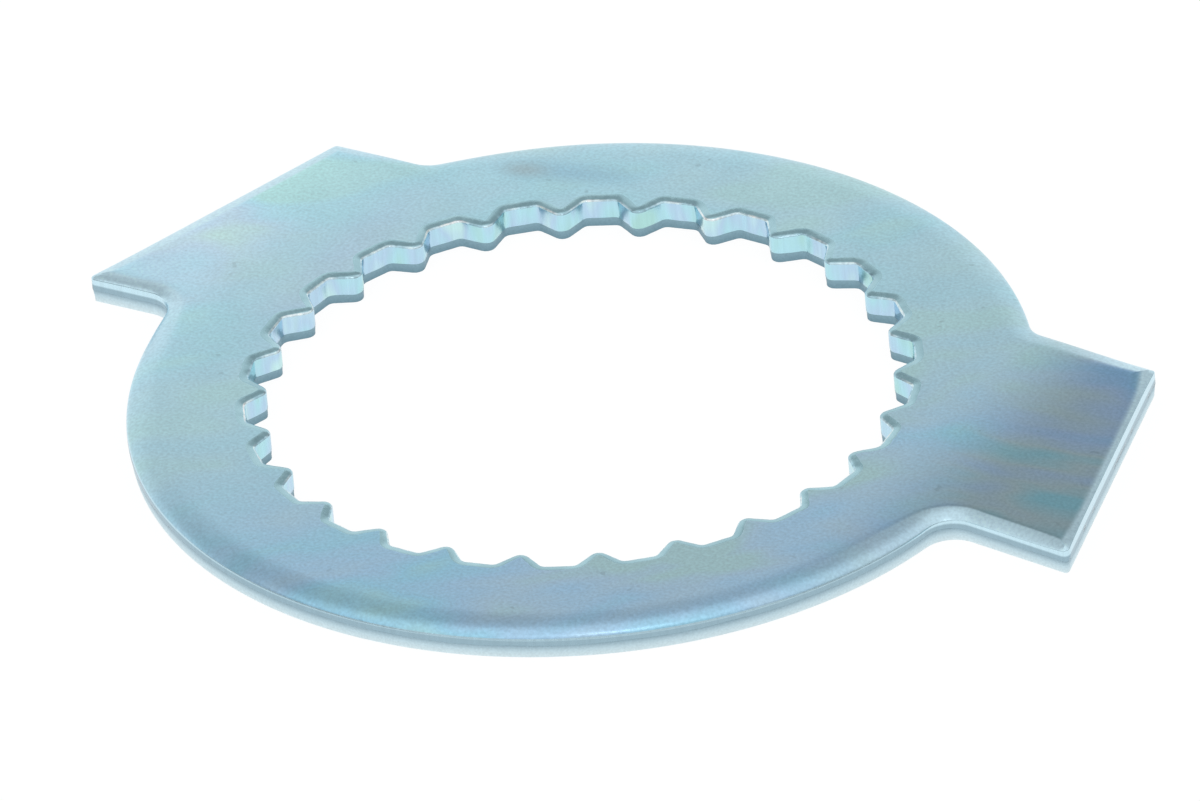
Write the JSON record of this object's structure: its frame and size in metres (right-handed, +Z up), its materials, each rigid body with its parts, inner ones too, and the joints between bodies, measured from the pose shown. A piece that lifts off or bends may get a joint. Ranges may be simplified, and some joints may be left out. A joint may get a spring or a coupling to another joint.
{
  "type": "tab lock washer",
  "caption": "Flat stamped ring with a toothed hole for a splined shaft and slanted tabs at its rim that fold up against a nut to lock it.",
  "frame": {"origin": "axis of the toothed hole, on the underside of the sheet", "axes": "+Z up along the hole's axis out of the top face, +X through the longer tab, +Y along the line about which the tabs mirror each other"},
  "size_m": [0.0727, 0.057, 0.002],
  "materials": {
    "zinc_plate": "bright zinc plate with clear blue passivation on stamped steel, satin, fine grain, faint rainbow tints"
  },
  "bodies": {
    "root": {"lock_washer": "zinc_plate"}
  },
  "joints": []
}
